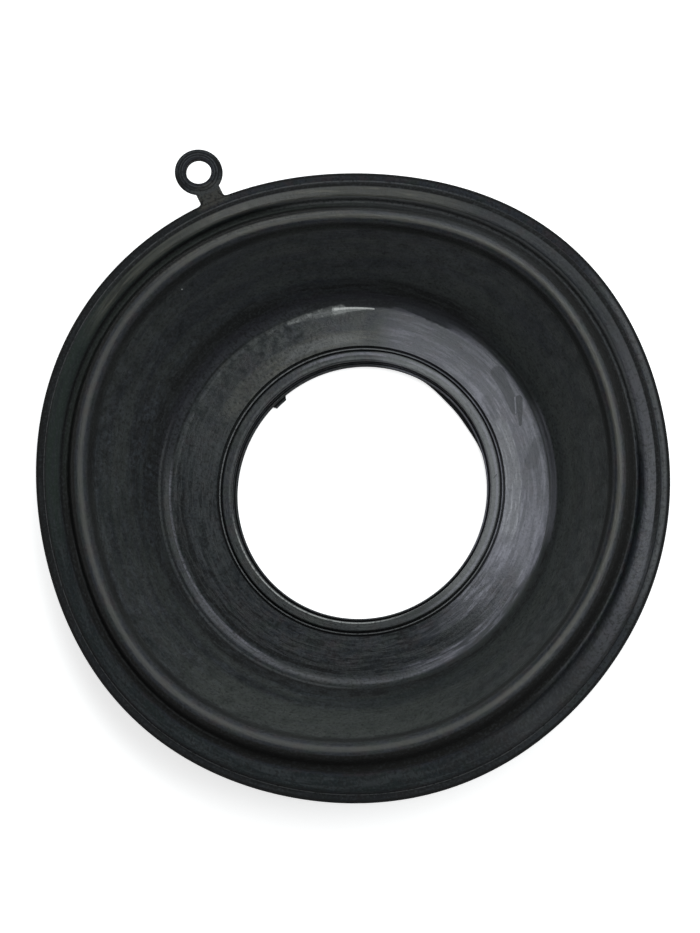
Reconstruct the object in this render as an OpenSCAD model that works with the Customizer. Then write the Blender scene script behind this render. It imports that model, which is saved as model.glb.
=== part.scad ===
// Slide diaphragm of a constant-vacuum carburettor: one thin moulded rubber bowl, rim upwards.
// The bowl hangs from a sealing bead at the rim, rolls over one convolution, drops down a
// conical wall to a flat web, and ends in a thick ring that grips the neck of the slide.
// The underside of that ring lies on z = 0 and the axis of its bore is the z axis. The rubber is
// soft and lies slack, so that the bowl and its rim stand a little to one side of that axis.

/* [Rim] */
// Outer diameter of the rim, over its flat lip
rim_d = 84; // [80:0.5:90]
// Height of the middle of the rim above the underside of the ring
rim_z = 11.5; // [9:0.5:15]
// Width of the flat lip outside the sealing bead
lip_w = 1.25; // [0.7:0.05:1.6]
// Thickness of the flat lip
lip_t = 0.85; // [0.6:0.05:1.3]
// Fall of the lip's upper face from its ridge to its two edges
lip_crown = 0.18; // [0:0.02:0.24]
// Distance from the edge to that ridge
lip_ridge = 0.65; // [0.5:0.05:0.9]
// Width of the sealing bead
bead_w = 2.55; // [1.8:0.05:3]
// Thickness of the sealing bead, from its top to its underside
bead_t = 2.1; // [1.7:0.1:3]
// Lean of the bead's inner side, from its foot to its top
bead_slope = 0.35; // [0:0.05:0.8]
// Radius on the bead's upper inner edge
bead_inner_round = 1.1; // [0.4:0.1:1.4]
// Radius on the bead's upper outer edge
bead_outer_round = 0.85; // [0.3:0.05:1.1]
// Radius on the two lower edges of the bead
bead_round = 1; // [0.4:0.1:1.2]

/* [Convolution] */
// Thickness of the thin membrane
membrane_t = 0.5; // [0.35:0.05:0.7]
// Clear width of the valley between the bead and the roll
valley_w = 1.1; // [0.9:0.05:1.8]
// Depth of the valley's floor below the middle of the rim
valley_drop = 0.3; // [0:0.1:0.6]
// Width of the roll over its two flanks
roll_w = 2.75; // [2.4:0.05:4]
// Height of the roll's crest above the middle of the rim
roll_rise = 2.3; // [1:0.1:3.5]
// Depth of the roll's steep inner flank below the middle of the rim
flank_drop = 0.5; // [0.2:0.1:2]
// Lean of each flank of the roll from top to bottom
flank_draft = 0.4; // [0:0.05:0.6]
// Bend where the steep flank turns into the conical wall
flank_bend = 0.7; // [0.3:0.1:3]

/* [Web] */
// Diameter at which the conical wall meets the web
web_d = 52.4; // [46:0.2:56]
// Thickness of the web
web_t = 0.9; // [0.6:0.05:1.1]
// Clearance below the web at its outer edge
web_low = 0.1; // [0.05:0.05:0.6]
// Rise of the web from its outer edge to its flat middle
web_rise = 0.8; // [0.2:0.1:1.2]
// Bend where the conical wall turns into the web
web_bend = 1.7; // [1:0.1:3.5]
// Bend where the web's flat middle starts to fall
web_crown = 3; // [1:0.5:6]

/* [Lie] */
// How far the bowl, the rim and the ear stand off the ring's axis, along x
bowl_x = -1.05; // [-1.5:0.05:1.5]
// How far they stand off it along y
bowl_y = 0.45; // [-1.5:0.05:1.5]

/* [Ring] */
// Diameter of the bore that grips the slide
bore_d = 34; // [31:0.25:36]
// Height of the ring, underside to the top of its bead
ring_h = 2.4; // [2.2:0.1:3.4]
// Width of the ring's raised bead
ring_bead_w = 1.3; // [0.9:0.1:1.8]
// Radius on the two upper edges of the ring's bead
ring_round = 0.45; // [0.1:0.05:0.45]
// Width of the low ledge between the bore and the bead
ledge_w = 0.55; // [0.45:0.05:1]
// Drop from the top of the bead to the ledge
ledge_drop = 0.9; // [0.4:0.1:1]
// Width of the lip that the ledge's channel leaves round the bore
ledge_lip = 0.2; // [0.15:0.05:0.3]
// Depth of that channel below the ledge
ledge_cut = 0.5; // [0.1:0.05:0.6]
// Width of the groove round the bead, over both its channels
groove_w = 0.7; // [0.6:0.05:1.1]
// Width of the fine rib that splits the groove into two channels
rib_w = 0.2; // [0.15:0.05:0.4]
// Depth of the groove below the web's upper face
groove_d = 0.5; // [0.15:0.05:0.55]
// Height of the flared lead-in at the bottom of the bore
lead_h = 0.55; // [0.5:0.05:0.8]
// Widening of the bore over its lead-in
lead_w = 0.35; // [0.15:0.05:0.5]

/* [Nib] */
// Direction of the gate nib in the bore, turned from the x axis
nib_turn = 132; // [0:1:359]
// Length of the nib along the edge of the bore
nib_l = 2.1; // [1:0.1:4]
// Reach of the nib inside the bore
nib_reach = 0.45; // [0.2:0.05:0.8]
// Thickness of the nib
nib_t = 0.4; // [0.2:0.05:0.45]

/* [Ear] */
// Direction of the ear, turned from the x axis
ear_turn = 116; // [0:1:359]
// Distance from the rim's edge to the middle of the ear's hole
ear_out = 4.3; // [4:0.1:7]
// Outer diameter of the ear
ear_d = 6.3; // [6:0.1:7.6]
// Thickness of the ear's flat plate and of its neck
ear_t = 0.8; // [0.5:0.1:1.2]
// Diameter of the air hole in the ear
ear_hole_d = 3.35; // [2.4:0.05:3.6]
// Diameter of the bead round the air hole
ear_bead_d = 4.9; // [4.4:0.05:5.4]
// Thickness of the bead round the air hole, both faces
ear_bead_t = 1.2; // [1:0.1:2.6]
// Radius on the outer edges of that bead
ear_bead_round = 0.15; // [0.1:0.05:0.35]
// Width of the neck between the rim and the ear
neck_w = 3.3; // [2.4:0.05:4.4]
// Radius where the neck flares into the rim
neck_flare = 0.35; // [0.2:0.05:1.2]

/* [Hidden] */
rubber = [0.17, 0.17, 0.18];
$fn = 192;

// Largest turn between two neighbouring points of a rounded corner
arc_step = 11;
// Share of a side that the rounding at its two ends may use
side_share = 0.98;
// Small radius on the edges of the lip
lip_edge = 0.25;
// Large radius over the ridge of the lip's crown
lip_bend = 1.2;
// Small radius at the foot of a bead
foot_round = 0.15;
// Width of the flat floor of the ledge's channel
channel_floor = 0.12;
// Step from the web's upper face down to the top of the fine rib
rib_drop = 0.03;
// How far one form runs into the next, so that they are one solid
sink = 0.6;
// Height of the nib's underside over the table
nib_low = 0.1;
// Least overlap of the ring's web and the bowl's web
web_lap = 0.05;

rim_r = rim_d / 2;
bore_r = bore_d / 2;
half_t = membrane_t / 2;

// Radii of the rim, from the edge inwards
bead_out = rim_r - lip_w;
bead_in = bead_out - bead_w;
roll_out = bead_in - valley_w;
roll_in = roll_out - roll_w;

// Radii of the ring, from the bore outwards
ledge_r = bore_r + ledge_w;
ring_bead_r = ledge_r + ring_bead_w;
groove_r = ring_bead_r + groove_w;

// Radii of the web's flat middle, where the ring's disc and the bowl, each round its own axis,
// run into each other with their faces flush
off_axis = norm([bowl_x, bowl_y]);
bowl_from = groove_r + web_lap + off_axis;
disc_r = bowl_from + web_lap + off_axis;
web_flat_r = disc_r + web_lap + off_axis;

// Heights
ledge_z = ring_h - ledge_drop;
web_outer_z = web_low + web_t / 2;
web_inner_z = web_outer_z + web_rise;
crest_z = rim_z + roll_rise - half_t;
valley_z = rim_z - valley_drop - half_t;
flank_z = rim_z - flank_drop;

// Middle line of the bowl from its flat web to the bead: radius, height and bend of each corner.
// Its own half thickness comes off the bends' inner side in side_of.
roll_bend = roll_w / 2 - half_t;
valley_bend = valley_w / 2 + half_t;
middle = [
    [bowl_from, web_inner_z, 0],
    [web_flat_r, web_inner_z, web_crown],
    [web_d / 2, web_outer_z, web_bend],
    [roll_in + half_t - flank_draft, flank_z, flank_bend],
    [roll_in + half_t + flank_draft, crest_z, roll_bend],
    [roll_out - half_t - flank_draft, crest_z, roll_bend],
    [roll_out - half_t + flank_draft, valley_z, valley_bend],
    [bead_in, valley_z, 0]
];

// Unit step from point a to point b
function step_to(a, b) = (b - a) / norm(b - a);

// Radius and height of a corner, without its rounding
function spot(corner) = [corner[0], corner[1]];

// Unit normal on the left of the step from a to b
function left_of(a, b) = let (s = step_to(a, b)) [-s[1], s[0]];

// Half thickness at corner i: the web is thicker than the membrane, up to its outer bend
function half_at(i) = i <= 2 ? web_t / 2 : half_t;

// Corners of one face of the membrane, off the middle line to the left (+1) or right (-1).
// A bend gets tighter on its inner side and wider on its outer side.
function side_of(path, way) = [
    for (i = [0 : len(path) - 1])
        let (
            last = len(path) - 1,
            here = spot(path[i]),
            before = i == 0 ? left_of(here, spot(path[1])) : left_of(spot(path[i - 1]), here),
            after = i == last ? before : left_of(here, spot(path[i + 1])),
            off = way * half_at(i),
            turn = sign(before[0] * after[1] - before[1] * after[0]),
            place = here + off * (before + after) / (1 + before * after)
        )
        [place[0], place[1], max(path[i][2] - off * turn, 0)]
];

// Half of the angle between the two sides that meet at a corner
function half_angle(before, corner, after) =
    let (
        u = step_to(spot(corner), spot(before)),
        v = step_to(spot(corner), spot(after))
    )
    acos(min(max(u * v, -1), 1)) / 2;

// How far along its sides a corner's full rounding would reach, one value a corner
function full_reaches(corners) = [
    for (i = [0 : len(corners) - 1])
        let (
            n = len(corners),
            half = half_angle(corners[(i + n - 1) % n], corners[i], corners[(i + 1) % n])
        )
        half > 89 ? 0 : corners[i][2] / tan(half)
];

// What a side of this length leaves for the rounding at one end, when the other end wants its own
function fitted(mine, other, side) =
    mine + other <= side_share * side ? mine : side_share * side * mine / (mine + other);

// Points of one corner, rounded so that the arc starts and ends at `reach` from it
function arc_at(before, corner, after, reach) =
    reach < 0.005 ? [spot(corner)] :
    let (
        p = spot(corner),
        u = step_to(p, spot(before)),
        v = step_to(p, spot(after)),
        half = half_angle(before, corner, after),
        r = reach * tan(half),
        centre = p + (u + v) / norm(u + v) * r / sin(half),
        from = p + u * reach - centre,
        start = atan2(from[1], from[0]),
        sweep = -sign(u[0] * v[1] - u[1] * v[0]) * (180 - 2 * half),
        steps = max(2, ceil(abs(sweep) / arc_step))
    )
    [for (k = [0 : steps]) centre + r * [cos(start + sweep * k / steps), sin(start + sweep * k / steps)]];

// Points of a closed outline whose corners are each [x, y, rounding]
function rounded(corners) =
    let (n = len(corners), reaches = full_reaches(corners))
    [
        for (i = [0 : n - 1])
            let (
                last = (i + n - 1) % n,
                next = (i + 1) % n,
                side_in = norm(spot(corners[i]) - spot(corners[last])),
                side_out = norm(spot(corners[next]) - spot(corners[i])),
                reach = min(
                    fitted(reaches[i], reaches[last], side_in),
                    fitted(reaches[i], reaches[next], side_out)
                )
            )
            each arc_at(corners[last], corners[i], corners[next], reach)
    ];

function backwards(list) = [for (i = [len(list) - 1 : -1 : 0]) list[i]];

// Upper half of the ring: ledge with its channel, raised bead, split groove and flat disc
web_top = web_inner_z + web_t / 2;
rib_in = ring_bead_r + (groove_w - rib_w) / 2;
ring_top = [
    [bore_r, ledge_z, foot_round],
    [bore_r + ledge_lip, ledge_z, 0],
    [ledge_r - channel_floor, ledge_z - ledge_cut, 0],
    [ledge_r, ledge_z - ledge_cut, 0],
    [ledge_r, ring_h, ring_round],
    [ring_bead_r, ring_h, ring_round],
    [ring_bead_r, web_top - groove_d, 0],
    [rib_in, web_top - groove_d, 0],
    [rib_in, web_top - rib_drop, rib_w / 3],
    [rib_in + rib_w, web_top - rib_drop, rib_w / 3],
    [rib_in + rib_w, web_top - groove_d, 0],
    [groove_r, web_top - groove_d, 0],
    [groove_r, web_top, 0],
    [disc_r, web_top, 0]
];

// Bead and lip of the rim, from the valley over the top, round the edge and back below
rim_edge = [
    [bead_in + bead_slope, rim_z + bead_t / 2, bead_inner_round],
    [bead_out, rim_z + bead_t / 2, bead_outer_round],
    [bead_out, rim_z + lip_t / 2 - lip_crown, foot_round],
    [rim_r - lip_ridge, rim_z + lip_t / 2, lip_bend],
    [rim_r, rim_z + lip_t / 2 - lip_crown, lip_edge],
    [rim_r, rim_z - lip_t / 2, lip_edge],
    [bead_out, rim_z - lip_t / 2, foot_round],
    [bead_out, rim_z - bead_t / 2, bead_round],
    [bead_in, rim_z - bead_t / 2, bead_round]
];

// Lower half of the ring, back to the flared lead-in of the bore
ring_foot = [
    [disc_r, web_top - web_t, 0],
    [ring_bead_r, web_top - web_t, foot_round],
    [ring_bead_r, 0, foot_round],
    [bore_r + lead_w, 0, 0],
    [bore_r, lead_h, 0]
];

// Ring round the bore with its disc of flat web, turned once round the bore's axis
module ring() {
    rotate_extrude()
        polygon(rounded(concat(ring_top, ring_foot)));
}

// Web, conical wall, roll and rim, turned once round the bowl's own axis
module bowl() {
    rotate_extrude()
        polygon(rounded(concat(side_of(middle, 1), rim_edge, backwards(side_of(middle, -1)))));
}

// Gate nib that stands into the lead-in of the bore
module nib() {
    inner = bore_r - nib_reach;
    outer = bore_r + lead_w + sink;
    rotate([0, 0, nib_turn])
        translate([0, 0, nib_low])
            linear_extrude(nib_t)
                polygon(rounded([
                    [inner, -nib_l / 2, nib_reach / 2],
                    [outer, -nib_l / 2, 0],
                    [outer, nib_l / 2, 0],
                    [inner, nib_l / 2, nib_reach / 2]
                ]));
}

// Neck of the ear, as wide as neck_w, flared where it leaves the rim's edge
module neck() {
    root = sqrt(pow(rim_r, 2) - pow(neck_w / 2 + 2 * neck_flare, 2));
    inner = rim_r - lip_w + lip_edge;
    linear_extrude(ear_t, center = true)
        polygon(rounded([
            [inner, -neck_w / 2 - 2 * neck_flare, 0],
            [root, -neck_w / 2 - 2 * neck_flare, 0],
            [root, -neck_w / 2, neck_flare],
            [rim_r + ear_out, -neck_w / 2, 0],
            [rim_r + ear_out, neck_w / 2, 0],
            [root, neck_w / 2, neck_flare],
            [root, neck_w / 2 + 2 * neck_flare, 0],
            [inner, neck_w / 2 + 2 * neck_flare, 0]
        ]));
}

// Bead round the air hole, rounded on its outer edges only
module ear_bead() {
    rotate_extrude()
        polygon(rounded([
            [ear_hole_d / 4, -ear_bead_t / 2, 0],
            [ear_bead_d / 2, -ear_bead_t / 2, ear_bead_round],
            [ear_bead_d / 2, ear_bead_t / 2, ear_bead_round],
            [ear_hole_d / 4, ear_bead_t / 2, 0]
        ]));
}

// Ear that seals an air passage beside the bowl
module ear() {
    rotate([0, 0, ear_turn])
        translate([0, 0, rim_z])
            difference() {
                union() {
                    neck();
                    translate([rim_r + ear_out, 0, 0]) {
                        cylinder(d = ear_d, h = ear_t, center = true);
                        ear_bead();
                    }
                }
                translate([rim_r + ear_out, 0, 0])
                    cylinder(d = ear_hole_d, h = 2 * ear_bead_t, center = true);
            }
}

module diaphragm() {
    color(rubber) {
        ring();
        nib();
        translate([bowl_x, bowl_y, 0]) {
            bowl();
            ear();
        }
    }
}

diaphragm();
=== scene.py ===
import math
from functools import reduce
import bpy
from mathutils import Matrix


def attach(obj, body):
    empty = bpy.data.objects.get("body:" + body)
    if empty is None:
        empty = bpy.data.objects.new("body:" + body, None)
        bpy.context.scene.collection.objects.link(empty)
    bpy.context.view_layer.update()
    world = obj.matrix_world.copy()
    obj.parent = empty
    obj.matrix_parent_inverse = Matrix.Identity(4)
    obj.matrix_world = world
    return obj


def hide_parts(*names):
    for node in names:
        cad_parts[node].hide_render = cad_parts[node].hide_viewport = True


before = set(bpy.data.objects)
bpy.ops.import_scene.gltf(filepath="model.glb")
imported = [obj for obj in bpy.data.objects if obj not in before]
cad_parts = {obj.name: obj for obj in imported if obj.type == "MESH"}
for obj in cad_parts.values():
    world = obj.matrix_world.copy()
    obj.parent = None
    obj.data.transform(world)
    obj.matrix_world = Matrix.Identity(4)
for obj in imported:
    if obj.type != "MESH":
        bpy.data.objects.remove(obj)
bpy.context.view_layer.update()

from types import SimpleNamespace

import bpy
import numpy as np
from mathutils import Matrix

# A slide diaphragm of black moulded rubber, lying on its ring with its rim upwards.
# Sizes are in millimetres, and MM turns them into metres where they reach Blender. Only the
# lamps and the floor are given in metres.
MM = 0.001
# Keeps a division by a length from being one by zero
TINY = 1e-9

# Rim
RIM_R = 42.0
RIM_Z = 11.5
LIP_W = 1.25
LIP_T = 0.85
LIP_RIDGE = 0.65
LIP_FALL = 0.18
LIP_EDGE = 0.25
BEAD_W = 2.55
BEAD_T = 2.1
BEAD_ROUND = 1.0
BEAD_SLOPE = 0.35
SLOPE_FOOT = 0.5
SLOPE_TOP = 1.1
BEAD_SHOULDER = 0.85
STEP_ROUND = 0.2
RIDGE_ROUND = 1.2

# Convolution
MEMBRANE_T = 0.5
VALLEY_W = 1.1
VALLEY_DROP = 0.3
ROLL_W = 2.75
ROLL_RISE = 2.3
FLANK_DROP = 0.5
FLANK_DRAFT = 0.4
FLANK_BEND = 0.7

# Web
WEB_R = 26.2
WEB_T = 0.9
WEB_LOW = 0.1
WEB_RISE = 0.8
WEB_BEND = 1.7

# Ring round the bore
BORE_R = 17.0
RING_H = 2.4
RING_BEAD_W = 1.3
RING_ROUND = 0.45
RING_LEAN = 0.06
LEDGE_W = 0.55
LEDGE_DROP = 0.9
LEDGE_LIP = 0.2
LEDGE_CUT = 0.5
CUT_DRAFT = 0.12
GROOVE_W = 0.7
GROOVE_D = 0.5
RIB_W = 0.2
RIB_DROP = 0.03
LEAD_H = 0.55
LEAD_W = 0.35

# Roundings of the small corners
CREASE_ROUND = 0.03
CUT_ROUND = 0.04
LEDGE_ROUND = 0.05
WEB_EDGE_ROUND = 0.06
RIB_ROUND = 0.09
BEAD_FOOT_ROUND = 0.1
FOOT_ROUND = 0.15

# Ear
EAR_TURN = 116.0
EAR_OUT = 4.3
EAR_R = 3.15
EAR_T = 0.8
EAR_HOLE_R = 1.675
EAR_BEAD_R = 2.45
EAR_BEAD_T = 1.2
EAR_BEAD_ROUND = 0.12
EAR_SKIRT = 0.1
HOLE_EDGE = 0.06
HOLE_RIM = 0.14
HOLE_WAIST = 0.3
NECK_W = 3.3
NECK_FLARE = 0.35

# Fineness of the surface: columns round the axis, degrees of arc a step, and the longest straight
# step at a radius, fine at the ring and the rim and longer on the plain wall
COLUMNS = 360
ARC_STEP = 20.0
STEP_RADII = (19.5, 21.0, 32.0, 36.0)
LONGEST_STEPS = (0.5, 0.9, 0.9, 0.6)
# Heights in the lead-in at which the nib and the flash need rows of their own
LEAD_LEVELS = (0.07, 0.1, 0.13, 0.3, 0.46, 0.49, 0.52)
# The share of a side that two arcs may fill, the reach of an arc below which its corner stays sharp,
# and half the angle in degrees past which a corner counts as straight
SIDE_SHARE = 0.98
SHARP = 0.004
HALF_STRAIGHT = 89.0
# Columns that the ear's root covers on each side of its middle, and points along its outline
ROOT_HALF = 3
FLARE_POINTS = 8
NECK_POINTS = 6
DISC_POINTS = 64
# Shares of the way from the ear's outline to its bead, and circles on the bead's flat top
PLATE_SHARES = (0.04, 0.3, 0.6, 0.94, 1.0)
EAR_TOP_CIRCLES = (2.1, 1.82)

BEAD_OUT = RIM_R - LIP_W
BEAD_IN = BEAD_OUT - BEAD_W
ROLL_OUT = BEAD_IN - VALLEY_W
ROLL_IN = ROLL_OUT - ROLL_W
LEDGE_R = BORE_R + LEDGE_W
RING_BEAD_R = LEDGE_R + RING_BEAD_W
GROOVE_R = RING_BEAD_R + GROOVE_W
WEB_OUTER_Z = WEB_LOW + WEB_T / 2
WEB_INNER_Z = WEB_OUTER_Z + WEB_RISE


def unit(v):
    """Each row divided by its own length."""
    return v / np.maximum(np.linalg.norm(v, axis=-1, keepdims=True), TINY)


def ease(x, low, high):
    """0 below low, 1 above high and the cubic 3t^2 - 2t^3 between."""
    t = np.clip((x - low) / (high - low), 0.0, 1.0)
    return t * t * (3.0 - 2.0 * t)


def hump(x, middle, width):
    """The bell exp(-((x - middle) / width)^2)."""
    return np.exp(-(((x - middle) / width) ** 2))


def turn_from(theta, degrees):
    """Angle from a direction given in degrees, wrapped to -180..180, in degrees."""
    return (np.degrees(theta) - degrees + 180.0) % 360.0 - 180.0


def pointing(turn, height=0.0):
    """The unit vector in a direction round the axis, at an angle above the level, both in degrees."""
    t, h = math.radians(turn), math.radians(height)
    return np.array([math.cos(h) * math.cos(t), math.cos(h) * math.sin(t), math.sin(h)])


def membrane_side(way):
    """Corners of one face of the membrane, from the web to the bead: [radius, height, rounding].

    The middle line's corners move along the sum of the normals of their two sides, divided by one
    plus the normals' dot product, so that both sides lie half a thickness off. way is +1 or -1.
    """
    half = MEMBRANE_T / 2
    crest_z = RIM_Z + ROLL_RISE - half
    valley_z = RIM_Z - VALLEY_DROP - half
    middle = np.array([
        [GROOVE_R, WEB_INNER_Z, 0.0],
        [WEB_R, WEB_OUTER_Z, WEB_BEND],
        [ROLL_IN + half - FLANK_DRAFT, RIM_Z - FLANK_DROP, FLANK_BEND],
        [ROLL_IN + half + FLANK_DRAFT, crest_z, ROLL_W / 2 - half],
        [ROLL_OUT - half - FLANK_DRAFT, crest_z, ROLL_W / 2 - half],
        [ROLL_OUT - half + FLANK_DRAFT, valley_z, VALLEY_W / 2 + half],
        [BEAD_IN, valley_z, 0.0],
    ])
    halves = np.array([WEB_T, WEB_T] + [MEMBRANE_T] * 5) / 2
    steps = unit(np.diff(middle[:, :2], axis=0))
    normals = np.stack([-steps[:, 1], steps[:, 0]], axis=1)
    before = np.vstack([normals[:1], normals])
    after = np.vstack([normals, normals[-1:]])
    off = (way * halves)[:, None]
    dots = np.sum(before * after, axis=1, keepdims=True)
    places = middle[:, :2] + off * (before + after) / (1.0 + dots)
    turns = np.sign(before[:, 0] * after[:, 1] - before[:, 1] * after[:, 0])
    rounds = np.maximum(middle[:, 2] - off[:, 0] * turns, 0.0)
    return np.column_stack([places, rounds])


# The number of the lip's upper outer corner in the section
LIP_CORNER = 23


def section_corners():
    """Corners of the whole section, [radius, height, rounding]: over the top outwards, back below."""
    web_top = WEB_INNER_Z + WEB_T / 2
    floor = web_top - GROOVE_D
    cut_floor = RING_H - LEDGE_DROP - LEDGE_CUT
    rib_in = RING_BEAD_R + (GROOVE_W - RIB_W) / 2
    rib_out = rib_in + RIB_W
    ring_top = [
        [BORE_R, RING_H - LEDGE_DROP, FOOT_ROUND],
        [BORE_R + LEDGE_LIP, RING_H - LEDGE_DROP, LEDGE_ROUND],
        [LEDGE_R - CUT_DRAFT, cut_floor, CUT_ROUND],
        [LEDGE_R, cut_floor, CREASE_ROUND],
        [LEDGE_R, RING_H + RING_LEAN, RING_ROUND / 2],
        [RING_BEAD_R, RING_H - RING_LEAN, RING_ROUND / 2],
        [RING_BEAD_R, floor, CREASE_ROUND],
        [rib_in, floor, CREASE_ROUND],
        [rib_in, web_top - RIB_DROP, RIB_ROUND],
        [rib_out, web_top - RIB_DROP, RIB_ROUND],
        [rib_out, floor, CREASE_ROUND],
        [GROOVE_R, floor, CREASE_ROUND],
    ]
    upper = membrane_side(1)
    upper[0, 2] = WEB_EDGE_ROUND
    rim_edge = [
        [BEAD_IN + BEAD_SLOPE, RIM_Z + BEAD_T / 2, SLOPE_TOP],
        [BEAD_OUT, RIM_Z + BEAD_T / 2, BEAD_SHOULDER],
        [BEAD_OUT, RIM_Z + LIP_T / 2 - LIP_FALL, STEP_ROUND],
        [RIM_R - LIP_RIDGE, RIM_Z + LIP_T / 2, RIDGE_ROUND],
        [RIM_R, RIM_Z + LIP_T / 2 - LIP_FALL, LIP_EDGE],
        [RIM_R, RIM_Z - LIP_T / 2, LIP_EDGE],
        [BEAD_OUT, RIM_Z - LIP_T / 2, FOOT_ROUND],
        [BEAD_OUT, RIM_Z - BEAD_T / 2, BEAD_ROUND],
        [BEAD_IN, RIM_Z - BEAD_T / 2, BEAD_ROUND],
    ]
    lower = membrane_side(-1)[::-1]
    upper[-1, 2], lower[0, 2] = SLOPE_FOOT, BEAD_FOOT_ROUND
    lead = [[BORE_R + LEAD_W * (1 - z / LEAD_H), z, 0.0] for z in LEAD_LEVELS]
    ring_foot = [
        [RING_BEAD_R, WEB_INNER_Z - WEB_T / 2, FOOT_ROUND],
        [RING_BEAD_R, 0.0, FOOT_ROUND],
        [BORE_R + LEAD_W, 0.0, CUT_ROUND],
        *lead,
        [BORE_R, LEAD_H, CREASE_ROUND],
    ]
    return np.vstack([ring_top, upper, rim_edge, lower, ring_foot])


def rounded(corners):
    """Points and outward normals round a closed outline whose corners are arcs.

    An arc starts r / tan(half the corner's angle) from its corner. Where two arcs don't both fit
    on a side, they share it in proportion. Along an arc the normal points away from the centre of
    a convex corner and towards that of a hollow one. Straight sides are cut into even steps.
    """
    spots, rounds = corners[:, :2], corners[:, 2]
    to_last = unit(np.roll(spots, 1, axis=0) - spots)
    to_next = unit(np.roll(spots, -1, axis=0) - spots)
    half = np.arccos(np.clip(np.sum(to_last * to_next, axis=1), -1.0, 1.0)) / 2
    full = np.where(half > math.radians(HALF_STRAIGHT), 0.0, rounds / np.tan(half))
    side = np.linalg.norm(np.roll(spots, -1, axis=0) - spots, axis=1)

    def fitted(other, length):
        both = full + other
        return np.where(both <= SIDE_SHARE * length, full, SIDE_SHARE * length * full / (both + TINY))

    reach = np.minimum(fitted(np.roll(full, -1), side), fitted(np.roll(full, 1), np.roll(side, 1)))
    points, normals, marks = [], [], []
    for k in range(len(corners)):
        p, u, v = spots[k], to_last[k], to_next[k]
        convex = np.sign(u[0] * v[1] - u[1] * v[0])
        sweep = math.pi - 2 * half[k]
        steps = max(1, math.ceil(math.degrees(sweep) / ARC_STEP))
        if reach[k] < SHARP:
            centre, start, radius, steps = p, p, 0.0, 0
        else:
            radius = reach[k] * math.tan(half[k])
            centre = p + unit(u + v) * radius / math.sin(half[k])
            start = p + u * reach[k]
        first = (start - centre) / max(radius, TINY)
        angles = -convex * np.linspace(0.0, sweep, steps + 1)
        cos, sin = np.cos(angles), np.sin(angles)
        spokes = np.column_stack([first[0] * cos - first[1] * sin, first[0] * sin + first[1] * cos])
        marks.append(sum(map(len, points)))
        if steps:
            points.append(centre + radius * spokes)
            normals.append(spokes * convex)
        end = p + v * reach[k]
        after = (k + 1) % len(corners)
        goal = spots[after] + to_last[after] * reach[after]
        length = np.linalg.norm(goal - end)
        count = math.ceil(length / np.interp((end[0] + goal[0]) / 2, STEP_RADII, LONGEST_STEPS))
        if not steps:
            points.append(p[None, :])
            normals.append(np.array([[-v[1], v[0]]]))
        if count > 1:
            share = np.arange(1, count)[:, None] / count
            points.append(end + (goal - end) * share)
            normals.append(np.tile([-v[1], v[0]], (count - 1, 1)))
    return np.vstack(points), np.vstack(normals), marks


def turned(section, normals, columns):
    """The section turned once round the axis: x = r cos t, y = r sin t, with t in even steps.

    Column 0 lies on the ear's direction, so that the ear's root falls on whole columns.
    """
    t = math.radians(EAR_TURN) + np.arange(columns) * 2 * math.pi / columns
    cos, sin = np.cos(t)[None, :, None], np.sin(t)[None, :, None]

    def spin(flat):
        r, z = flat[:, 0][:, None, None], flat[:, 1][:, None, None]
        return np.concatenate([r * cos, r * sin, z + 0 * cos], axis=2)

    return spin(section), spin(normals)


def torus_faces(rows, columns):
    """Quads of a grid that closes on itself both ways, as vertex numbers row * columns + column."""
    i, j = np.meshgrid(np.arange(rows), np.arange(columns), indexing="ij")
    a = i * columns + j
    b = (i + 1) % rows * columns + j
    c = (i + 1) % rows * columns + (j + 1) % columns
    d = i * columns + (j + 1) % columns
    return np.stack([a, b, c, d], axis=-1)


def grid_normals(grid):
    """Normals of a closed grid: the cross product of the differences along its rows and columns."""
    along = np.roll(grid, -1, axis=0) - np.roll(grid, 1, axis=0)
    across = np.roll(grid, -1, axis=1) - np.roll(grid, 1, axis=1)
    return unit(np.cross(along, across))


def ear_outline(root):
    """Outline of the ear as seen from above, as points and the hole's angle that each belongs to.

    In the ear's own plane u points away from the axis of the bowl and v along the rim, from the
    middle of the hole. The loop starts with the root's points on the rim, turns a quarter circle
    of about NECK_FLARE into the neck's side, meets the disc of radius EAR_R and mirrors back.
    """
    w = NECK_W / 2
    quarter = np.linspace(0.0, math.pi / 2, FLARE_POINTS)[1:]
    flare_u = root[-1, 0] + NECK_FLARE * (1 - np.cos(quarter))
    flare_v = root[-1, 1] + (w - root[-1, 1]) * np.sin(quarter)
    flare = np.column_stack([flare_u, flare_v])
    meet = math.asin(w / EAR_R)
    corner = np.array([-EAR_R * math.cos(meet), w])
    side = flare[-1] + (corner - flare[-1]) * (np.arange(1, NECK_POINTS) / NECK_POINTS)[:, None]
    arc = np.linspace(math.pi - meet, -(math.pi - meet), DISC_POINTS)
    disc = EAR_R * np.column_stack([np.cos(arc), np.sin(arc)])
    back = np.vstack([flare, side])[::-1] * [1.0, -1.0]
    loop = np.vstack([root, flare, side, disc, back])
    neck = np.vstack([disc[-1:], back, root, flare, side, disc[:1]])
    steps = np.linalg.norm(np.diff(neck, axis=0), axis=1)
    share = np.concatenate([[0.0], np.cumsum(steps)]) / steps.sum()
    neck_angle = math.pi + meet - 2 * meet * share
    root_start = 1 + len(back)
    return loop, np.concatenate([neck_angle[root_start:-1], arc, neck_angle[1:root_start]])


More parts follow.
